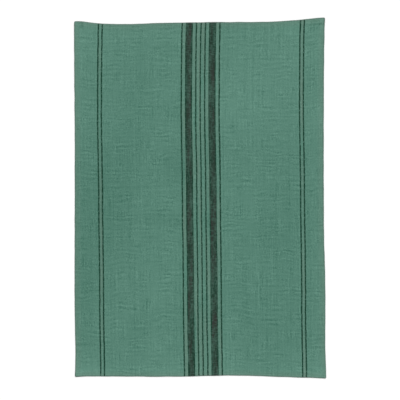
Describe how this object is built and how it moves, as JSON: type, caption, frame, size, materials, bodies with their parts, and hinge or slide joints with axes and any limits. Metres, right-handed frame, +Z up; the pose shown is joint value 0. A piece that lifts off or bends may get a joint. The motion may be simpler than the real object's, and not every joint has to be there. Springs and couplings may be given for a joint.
{
  "type": "tea towel",
  "caption": "Flat rectangular woven tea towel with turned hems and dark stripes along its length, lying face up for drying dishes and hands.",
  "frame": {"origin": "on the surface that the towel lies on, under the middle of its box", "axes": "+Z up out of the towel's face; +Y along the stripes, towards the end that is at the top of the picture; +X across the stripes, to the right in the picture"},
  "size_m": [0.499, 0.7142, 0.0036],
  "materials": {
    "woven_cotton": "matt"
  },
  "bodies": {
    "root": {"tea_towel": "woven_cotton"}
  },
  "joints": []
}
